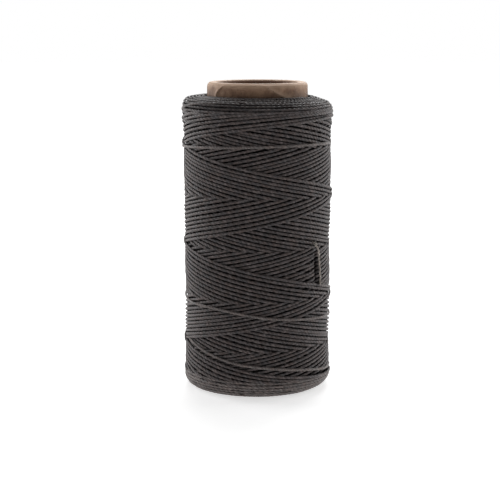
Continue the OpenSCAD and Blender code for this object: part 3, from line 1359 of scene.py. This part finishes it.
@dataclass(frozen=True)
class LooseEnd:
    """The thread's last end: it comes out of the turns in a kink, lies down over them and goes back under.

    The route's points hold heading, climb, and how far above the turns' tops the thread's inner side lies.
    The frays hold heading, climb, count of filaments and their length.
    """

    route: tuple[tuple[float, float, float], ...] = (
        (49.6, 50.0, -1.3), (49.3, 49.5, -0.5), (49.4, 48.9, 0.3), (50.5, 48.2, 0.65),
        (52.0, 47.2, 0.7), (53.4, 45.5, 0.6), (54.4, 42.7, 0.45), (55.3, 40.0, 0.35),
        (56.5, 37.0, 0.2), (57.5, 35.5, -0.3), (58.1, 34.5, -1.0),
    )
    samples: int = 8
    felt: tuple[float, int] = (0.8, 5)
    soft_points: int = 13
    thread: ThreadSize = ThreadSize(width=0.6, thickness=0.56)
    hair: ThreadSize = ThreadSize(width=0.14, thickness=0.12, sides=5, ply_rise=0.0)
    frays: tuple[tuple[float, float, int, float], ...] = (
        (49.4, 48.9, 30, 0.9),
        (54.2, 43.2, 4, 0.9),
        (57.0, 36.4, 6, 1.0),
    )
    middle: float = 54.0
    degrees_in_mm: float = 2.4
    points: int = 7
    near: int = 4
    aside: Span = (-1.0, 0.6)
    upward: Span = (-0.7, 1.0)
    outward: float = 0.45
    shortest: float = 0.4
    curl: float = 0.45
    proud: float = 0.2
    scatter: float = 0.15
    seed: int = 5

    def build(self, form: PackageForm, relief: Relief) -> tuple[Shape, Shape]:
        """Makes the loose end, and the stray filaments at its kink and its bends.

        Args:
            form: the package's form.
            relief: the finished package's relief.

        Returns:
            The thread and its filaments, as two new objects.
        """
        heading, climb, above = smooth_route(self.route, self.samples).T
        below = [relief.height[relief.cells(heading + aside, climb)] for aside in spread(*self.felt)]
        under = smoothed(np.max(below, axis=0), np.ones(self.soft_points)) + self.thread.thickness / 2
        middle = form.place(heading, climb, under + above)
        turn = math.radians(self.middle)
        outward = np.array([math.sin(turn), -math.cos(turn), 0])
        aside = np.array([math.cos(turn), math.sin(turn), 0])
        upright = Matrix((-aside, (0, 0, -1), outward)).transposed()
        lying = upright @ Matrix.Rotation(-math.pi / 2, 3, "Z")
        thick = swept_flat("thread_loose_end", [middle], self.thread, lying)
        stray = self.filaments(heading, climb, middle, aside, outward)
        fine = swept_flat("thread_frayed_filaments", stray, self.hair, lying)
        return thick, fine

    def filaments(
        self,
        heading: np.ndarray,
        climb: np.ndarray,
        middle: np.ndarray,
        aside: np.ndarray,
        outward: np.ndarray,
    ) -> list[np.ndarray]:
        """Stray filaments that stand off the loose end where it was bent.

        Args:
            heading: headings of the thread's middle line.
            climb: climbs of the thread's middle line.
            middle: the thread's middle line, in millimetres.
            aside: direction to the right over the package.
            outward: direction out of the package.

        Returns:
            Middle line of each filament.
        """
        rng = np.random.default_rng(self.seed)
        share = np.linspace(0, 1, self.points)[:, None]
        runs = []
        for at_heading, at_climb, count, length in self.frays:
            distance = np.hypot((heading - at_heading) / self.degrees_in_mm, climb - at_climb)
            for _ in range(count):
                place = int(np.argmin(distance)) + rng.integers(-self.near, self.near + 1)
                root = middle[np.clip(place, 0, len(middle) - 1)]
                away = rng.uniform(*self.aside) * aside + rng.uniform(*self.upward) * np.array([0, 0, 1])
                away += self.outward * outward
                way = away / np.linalg.norm(away) * length * rng.uniform(self.shortest, 1.0)
                bend = rng.uniform(-self.curl, self.curl, 3)
                start = root + self.proud * outward + rng.uniform(-self.scatter, self.scatter, 3)
                runs.append(start + way * share + bend * share**2)
        return runs


@dataclass(frozen=True)
class FirstEnd:
    """The thread's first end, which lies up the back of the tube below all turns."""

    width: float = 0.9
    unevenness: float = 0.02
    points: int = 40
    sway: float = 0.06
    sway_points: int = 9
    seed: int = 2

    def build(self) -> Shape:
        """Makes the end between the bounds of its CAD node.

        Returns:
            The new object.
        """
        low, high = (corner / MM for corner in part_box(Node.START.value))
        height = np.linspace(low.z, high.z, self.points)
        sway = wander(np.random.default_rng(self.seed), self.points, self.sway_points, self.sway)
        line = np.stack([sway, np.full(self.points, (low.y + high.y) / 2), height], axis=-1)
        size = ThreadSize(width=self.width, thickness=high.y - low.y, unevenness=self.unevenness)
        back = Matrix(((0, 0, 1), (1, 0, 0), (0, 1, 0))).transposed()
        return swept_flat("thread_first_end", [line], size, back)


@dataclass
class ThreadPackage:
    """All turns of thread on the tube: the laid outer turns, the end faces and the core below them.

    A turn's depth, which the thread's finish turns into painted shade, is counted from the package's softened
    surface, which is taken to lie no lower than deep_level on the side, and than end_levels past it, at the
    foot and at the head.
    """

    form: PackageForm
    thread: ThreadSize
    finish: Material
    buried: Material
    painted_end_light: Material
    frayed: Material
    painted_light: Material
    strokes_in_piece: int = 21
    fine_strokes: int = 60
    fine_in_piece: int = 10
    core_steps: int = 160
    core_rows: int = 6
    core_gap: float = 0.1
    face_lift: float = -0.85
    deep_level: float = -1.2
    end_levels: Span = (0.02, 0.42)
    level_round: float = 4.0
    level_up: float = 1.1
    hand_turns: tuple[HandTurn, ...] = (
        HandTurn((
            (-82, 18.2), (-57, 15.6), (-42, 14.0), (-19, 11.9), (9, 10.5), (34, 9.2), (80, 6.6), (120, 5.0),
        )),
        HandTurn((
            (-150, 33.4), (-110, 31.4), (-72, 29.5), (-42, 29.2), (-19, 28.3),
            (4, 26.8), (23, 26.0), (44, 25.2), (73, 24.3), (120, 23.0),
        )),
        HandTurn((
            (-205, 75.2), (-150, 77.2), (-76, 78.8), (-41, 79.5), (-19, 79.8),
            (0, 80.1), (40, 80.3), (76, 79.9), (120, 78.6), (160, 76.6),
        )),
    )
    pieces: list[Piece] = field(default_factory=list)
    relief: Relief = field(init=False)
    level: np.ndarray = field(init=False)

    def build(self) -> None:
        """Winds the outer turns and makes every piece of the package."""
        winder = Winder(self.form, self.thread)
        relief = winder.wind()
        LOG.info("wound %d strokes", len(winder.strands))
        self.build_turns(winder.strands)
        self.build_hand_turns(winder, relief)
        self.build_end_turns()
        self.build_core(winder)
        self.build_loose_end(relief)
        self.add(FirstEnd().build(), self.finish, Node.START)
        self.relief = relief
        climbs = relief.climbs()
        middle = (self.form.foot + self.form.head) / 2
        end_level = np.where(climbs < middle, *self.end_levels)
        lowest = self.deep_level + (end_level - self.deep_level) * ease(winder.beyond(climbs))
        self.level = np.maximum(relief.softened(self.level_round, self.level_up), lowest)

    def add(self, shape: Shape, finish: Material, *stands_for: Node, slot: Slot = Slot.THREAD) -> None:
        """Keeps a new object as a piece of the package."""
        self.pieces.append(Piece(shape, slot, stands_for, finish))

    def build_turns(self, strokes: list[Strand]) -> None:
        """Makes the laid strokes, ten or more as one run of thread in each piece, and the last ones finer.

        Args:
            strokes: all strokes in the order in which they were laid.
        """
        first = 0
        while first < len(strokes):
            fine = len(strokes) - first <= self.fine_strokes
            group = strokes[first : first + (self.fine_in_piece if fine else self.strokes_in_piece)]
            first += len(group)
            run = group[0]
            for stroke in group[1:]:
                run = run.joined(stroke)
            shape = self.shape_of(f"thread_turns_to_{first}", [run.refined() if fine else run])
            self.add(shape, self.finish, Node.WINDING, Node.CORE)

    def build_hand_turns(self, winder: Winder, relief: Relief) -> None:
        """Makes the last turns, which were wound by hand."""
        strands = [turn.strand(winder, relief) for turn in self.hand_turns]
        # The hand turns take the paler thread, as painted light.
        self.add(self.shape_of("thread_hand_turns", strands), self.painted_light, Node.WINDING)

    def shape_of(self, name: str, strands: list[Strand]) -> Shape:
        """Makes laid strands as one object, pressed in where the loose end caught them.

        Args:
            name: the piece's name.
            strands: the strands.

        Returns:
            The new object.
        """
        snag = Snag()
        lines, tilts = [], []
        for heading, climb, lift in (strand.lines() for strand in strands):
            lines.append(self.form.place(heading, climb, lift - snag.press(heading, climb)))
            tilts.append(-self.form.lean(heading, climb))
        return swept(name, lines, tilts, self.thread)

    def build_end_turns(self) -> None:
        """Makes the two end faces."""
        head = EndTurns(self.form.upper, first_share=-0.12, top=-0.22, scatter=0.05)
        foot = EndTurns(self.form.lower, first_share=-0.06, top=0.04, scatter=0.04)
        taut = replace(self.thread, width=0.78)
        # The foot turns take the paler thread, as painted light for the floor's bounce.
        ends = ((head, "thread_head_turns", self.finish), (foot, "thread_foot_turns", self.painted_light))
        for turns, name, finish in ends:
            self.add(swept(name, *turns.lay(self.form, taut), taut), finish, Node.CORE)

    def build_loose_end(self, relief: Relief) -> None:
        """Makes the loose end and the filaments frayed from it."""
        # The loose end takes the paler thread, as painted light.
        for shape, finish in zip(LooseEnd().build(self.form, relief), (self.painted_end_light, self.frayed)):
            self.add(shape, finish, Node.TAIL)

    def build_core(self, winder: Winder) -> None:
        """Makes the smooth core on which the laid strokes start.

        Args:
            winder: the winder that laid them.
        """
        climbs = Relief(self.form).climbs()
        inner = self.form.seat + self.core_gap
        picked = np.arange(0, len(climbs), self.core_rows)
        past = np.maximum(climbs - winder.upper.reach[0], winder.lower.reach[0] - climbs)
        lift = np.maximum(winder.core_lift, self.face_lift - winder.wound * (1 - ease(past)))
        points = self.form.place(np.zeros(len(picked)), climbs[picked], lift[picked])
        side = [(-y, z) for _, y, z in points if -y > inner]
        outline = [(inner, side[0][1]), *side, (inner, side[-1][1])]
        shape = turned("thread_buried_turns", outline, self.core_steps)
        self.add(shape, self.buried, Node.CORE, slot=Slot.WOUND)

    def mark_depth(self, mesh: bpy.types.Mesh) -> None:
        """Stores how deep below the turns round it each vertex lies, in millimetres, for the finish's painted
        shade.
        """
        heading, climb, lift = self.form.unrolled(read(mesh.vertices, "co", 3).reshape(-1, 3) / MM)
        mark(mesh, DEPTH, self.level[self.relief.cells(heading, climb)] - lift)

    def dress(self) -> None:
        """Gives every piece of the package its finish, and most their depth below the turns round them."""
        for piece in self.pieces:
            if piece.finish not in (self.buried, self.frayed):
                self.mark_depth(piece.shape.data)
            piece.dress()


# --------------------------------------------------------------------------------------------- Tube


@dataclass(frozen=True)
class Crease:
    """A fold or paper edge in the tube's skin, whose line may slant and curl as it goes up.

    The skin falls away from the line on both sides, over the distances in falls.
    """

    heading: float
    height: float
    rise: float
    slant: float = 0.0
    curl: float = 0.0
    reach: float = 4.0
    fade: float = 1.2
    falls: Span = (0.25, 1.5)

    def bump(self, heading: np.ndarray, height: np.ndarray, radius: float) -> np.ndarray:
        """Works out how far the skin stands out.

        Args:
            heading: degrees round the axis from the front, of each place.
            height: height of each place.
            radius: the skin's radius.

        Returns:
            Rise at each place.
        """
        up = height - self.height
        line = self.heading + self.slant * up + self.curl * up * np.abs(up)
        aside = np.radians(turn_from(heading, line)) * radius
        fall = np.where(aside < 0, *self.falls)
        return self.rise * np.exp(-np.abs(aside) / fall) * ease((self.reach - np.abs(up)) / self.fade)


@dataclass
class PaperTube:
    """Wound paper tube: the lining ply, the body plies and the smooth skin, which has folds in it.

    The skin is bare and folded over the length bare at the head, and over less_bare less at the foot.
    """

    creases: tuple[Crease, ...] = (
        Crease(heading=-53.2, height=94.6, rise=0.5, curl=0.9, reach=6.0, falls=(1.1, 0.6)),
        Crease(heading=18.5, height=96.5, rise=0.5, slant=-6.5, reach=5.0, falls=(0.9, 3.4)),
        Crease(heading=-15.9, height=97.0, rise=-0.14, slant=13.0, reach=1.6, falls=(0.9, 0.5)),
        Crease(heading=30.4, height=97.0, rise=-0.14, slant=3.0, reach=1.3, falls=(0.5, 0.6)),
        Crease(heading=-70.0, height=96.0, rise=0.09, slant=3.0, falls=(0.5, 0.9)),
        Crease(heading=70.0, height=97.0, rise=0.08, slant=2.0, falls=(0.6, 0.8)),
        Crease(heading=128.0, height=96.8, rise=0.16, slant=6.5, falls=(0.4, 1.2)),
        Crease(heading=163.0, height=96.3, rise=0.13, slant=-7.5, falls=(0.9, 0.4)),
        Crease(heading=-118.0, height=96.9, rise=0.14, slant=-4.0, falls=(0.4, 1.5)),
        Crease(heading=-53.1, height=1.0, rise=0.25, reach=4.0, falls=(0.3, 2.4)),
        Crease(heading=75.0, height=1.2, rise=0.12, slant=8.0, falls=(0.5, 1.1)),
        Crease(heading=170.0, height=0.9, rise=0.1, slant=-9.0, falls=(0.5, 1.3)),
    )
    steps: int = 720
    rim_round: float = 1.4
    rim_rows: int = 5
    skin: float = 0.4
    fine: float = 0.2
    plain_rows: int = 6
    inner_rows: tuple[float, ...] = (0.97, 0.5, 0.03)
    bare: float = 5.6
    less_bare: float = 2.5
    waves: int = 9
    wave_height: float = 0.02
    wave_least: float = 0.3
    wave_counts: tuple[int, int] = (3, 40)
    wave_slant: float = 1.2
    wave_turn: float = 6.28
    seed: int = 7
    # The kraft's waxed value sets how dark its painted shade next to the package gets.
    kraft: Paper = Paper("smooth_kraft_paper", pale="#b08e75", dark="#7d614f", fleck="#5a4434", waxed=0.6)
    board: Paper = Paper(
        "grey_brown_core_board", pale="#b59a82", dark="#8a705a", fleck="#5d4a38", fibre=0.3, relief=0.05
    )
    lining: Paper = Paper(
        "brown_lining_paper", pale=BROWN, dark="#63493b", fleck="#3f3027", roughness=0.6, painted_light=BROWN
    )
    radius: float = field(init=False)
    skin_piece: Piece = field(init=False)

    def build(self) -> None:
        """Makes the skin, and takes the other plies as they are."""
        self.radius = (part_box(Node.SKIN.value)[1] / MM).x
        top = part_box(Node.BODY.value)[1].z / MM
        shape = turned("tube_outer_ply_creased", self.skin_outline(top), self.steps)
        self.crumple(shape.data, top)
        self.skin_piece = Piece(shape, Slot.KRAFT, (Node.SKIN,), self.kraft.material())

    def skin_outline(self, top: float) -> list[Span]:
        """Section of the skin, with many points where the tube is bare.

        Args:
            top: height of the tube.

        Returns:
            Radius and height of each corner, closed.
        """
        inner = self.radius - self.skin
        lip = math.acos(1 - self.skin / self.rim_round)
        centre = self.radius - self.rim_round
        upper = []
        for i in range(1, self.rim_rows + 1):
            turn = lip * i / self.rim_rows
            below = self.rim_round * (1 - math.sin(turn))
            upper.append((centre + self.rim_round * math.cos(turn), top - below))
        lower = [(r, top - z) for r, z in reversed(upper)]
        end = top - self.rim_round + self.fine / 2
        sides = [
            *np.arange(self.rim_round, self.bare, self.fine),
            *np.linspace(self.bare, top - self.bare, self.plain_rows),
            *np.arange(top - self.bare + self.fine, end, self.fine),
        ]
        wall = [(self.radius, float(z)) for z in sides]
        inside = [(inner, top * share) for share in self.inner_rows]
        return [*lower, *wall, *upper, *inside]

    def crumple(self, mesh: bpy.types.Mesh, top: float) -> None:
        """Puts the folds and soft waves in the skin's outer side, where it is bare.

        Args:
            mesh: the skin's mesh.
            top: height of the tube.
        """
        spots = read(mesh.vertices, "co", 3).reshape(-1, 3) / MM
        radius = np.hypot(spots[:, 0], spots[:, 1])
        heading = np.degrees(np.arctan2(spots[:, 0], -spots[:, 1]))
        height = spots[:, 2]
        out = sum(crease.bump(heading, height, self.radius) for crease in self.creases)
        rng = np.random.default_rng(self.seed)
        for _ in range(self.waves):
            around = rng.integers(*self.wave_counts)
            up = rng.uniform(-self.wave_slant, self.wave_slant)
            wave = np.sin(np.radians(heading) * around + up * height + rng.uniform(0, self.wave_turn))
            out += self.wave_height * wave * rng.uniform(self.wave_least, 1)
        bare = np.maximum(ease(height - top + self.bare), ease(self.bare - self.less_bare - height))
        share = np.clip((radius - self.radius + self.skin) / self.skin, 0, 1) * bare
        mark(mesh, FOLD, out)
        new_radius = radius + out * share
        spots[:, :2] *= (new_radius / radius)[:, None]
        mesh.vertices.foreach_set("co", (spots * MM).ravel().astype(np.float32))
        mesh.update()

    def dress(self) -> None:
        """Gives every ply its finish."""
        self.skin_piece.dress()
        plies = ((Node.BODY, self.board, Slot.BOARD), (Node.LINER, self.lining, Slot.LINER))
        for node, finish, slot in plies:
            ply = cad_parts[node.value]
            coat(ply, finish.material())
            LOG.info("%s: %s", node.value, finish.name)


# ------------------------------------------------------------------------------------------- Studio


@dataclass(frozen=True)
class Softbox:
    """A soft lamp that faces the spool."""

    name: str
    azimuth: float
    elevation: float
    power: float
    width: float = 0.6
    height: float = 0.9
    distance: float = 0.9

    def build(self, target: Vector) -> None:
        """Makes the lamp.

        Args:
            target: point that it faces, in metres.
        """
        lamp = bpy.data.lights.new(self.name, "AREA")
        lamp.shape = "RECTANGLE"
        lamp.size, lamp.size_y = self.width, self.height
        lamp.energy = self.power
        turn, rise = math.radians(self.azimuth), math.radians(self.elevation)
        away = Vector((math.sin(turn) * math.cos(rise), -math.cos(turn) * math.cos(rise), math.sin(rise)))
        shape = linked(self.name, lamp)
        shape.location = target + away * self.distance
        shape.rotation_euler = away.to_track_quat("Z", "Y").to_euler()


@dataclass(frozen=True)
class Studio:
    """Camera, lamps, sweep and surroundings."""

    camera_distance: float = 452.4
    camera_height: float = 120.8
    camera_aside: float = -2.4
    camera_dip: float = 9.59
    lens: float = 101.31
    floor_side: float = 6.0
    surround: float = 0.03
    softboxes: tuple[Softbox, ...] = (
        Softbox("softbox_left", azimuth=-118, elevation=12, power=7.2),
        Softbox("softbox_right", azimuth=115, elevation=12, power=4.9),
        Softbox("softbox_front", azimuth=-8, elevation=46, power=0.64, width=0.35, height=0.35),
        Softbox("softbox_back", azimuth=172, elevation=46, power=8.2),
    )

    def build(self, target: Vector) -> None:
        """Sets up the whole studio.

        Args:
            target: point that the lamps face, in metres.
        """
        self.build_camera()
        self.build_floor()
        self.build_world()
        for softbox in self.softboxes:
            softbox.build(target)
        bpy.context.scene.view_settings.view_transform = "Standard"

    def build_camera(self) -> None:
        """Makes the camera, level with its dip below the horizon."""
        camera = bpy.data.cameras.new("camera")
        camera.lens = self.lens
        camera.clip_start, camera.clip_end = 0.01, 20
        shape = linked("camera", camera)
        shape.location = Vector((self.camera_aside, -self.camera_distance, self.camera_height)) * MM
        shape.rotation_euler = Euler((math.radians(90 - self.camera_dip), 0, 0))
        bpy.context.scene.camera = shape

    def build_floor(self) -> None:
        """Makes the sweep that the spool stands on."""
        shape = bmesh.new()
        bmesh.ops.create_grid(shape, x_segments=2, y_segments=2, size=self.floor_side / 2)
        mesh = bpy.data.meshes.new("floor")
        shape.to_mesh(mesh)
        shape.free()
        floor = smooth_object("floor", mesh)
        mesh.materials.append(PaleSweep().material())

    def build_world(self) -> None:
        """Makes surroundings that look white and light the spool softly."""
        world = bpy.data.worlds.new("surroundings")
        world.use_nodes = True
        tree = world.node_tree
        tree.nodes.clear()
        rays = add(tree, "LightPath").outputs
        mirrored = maths(tree, "MAXIMUM", rays["Is Glossy Ray"], rays["Is Transmission Ray"])
        seen = maths(tree, "MAXIMUM", rays["Is Camera Ray"], mirrored)
        strength = Ramp((0.0, 1.0), (self.surround, 1.0)).of(tree, seen)
        sky = add(tree, "Background", {"Color": linear("#ffffff"), "Strength": strength})
        add(tree, "OutputWorld", {"Surface": sky.outputs[0]})
        bpy.context.scene.world = world


def main() -> None:
    """Builds the spool round its CAD frame, and the studio round the spool."""
    logging.basicConfig(level=logging.INFO, format="%(name)s: %(message)s")
    bpy.context.view_layer.update()
    form = PackageForm.from_frame()
    thread = ThreadSize()
    # The loose end is paler than the thread: painted light for the light it catches where it stands off the
    # turns.
    painted_end_light = WaxedThread(
        "loose_end_painted_light_thread", warm="#a69b93", cool="#99918b", painted_groove="#4c4642", wax="#c4bab1"
    )
    frayed = WaxedThread("frayed_filaments", warm="#c5bdb4", cool="#b8b1aa", painted_groove="#9d968f", wax="#ddd6ce")
    # Paler thread for the foot turns and the hand turns: painted light for the floor's bounce at the foot,
    # and for the light on the hand turns that lie over the others.
    painted_light = WaxedThread("pale_painted_light_thread", warm="#6b605c", cool="#5f5b5a", wax="#8d8481")
    finishes = (WaxedThread(), BuriedThread(), painted_end_light, frayed, painted_light)
    package = ThreadPackage(form, thread, *(finish.material() for finish in finishes))
    package.build()
    package.dress()
    tube = PaperTube()
    tube.build()
    tube.dress()
    Studio().build(Vector((0, 0, (form.foot + form.head) / 2 * MM)))


if __name__ == "__main__":
    main()
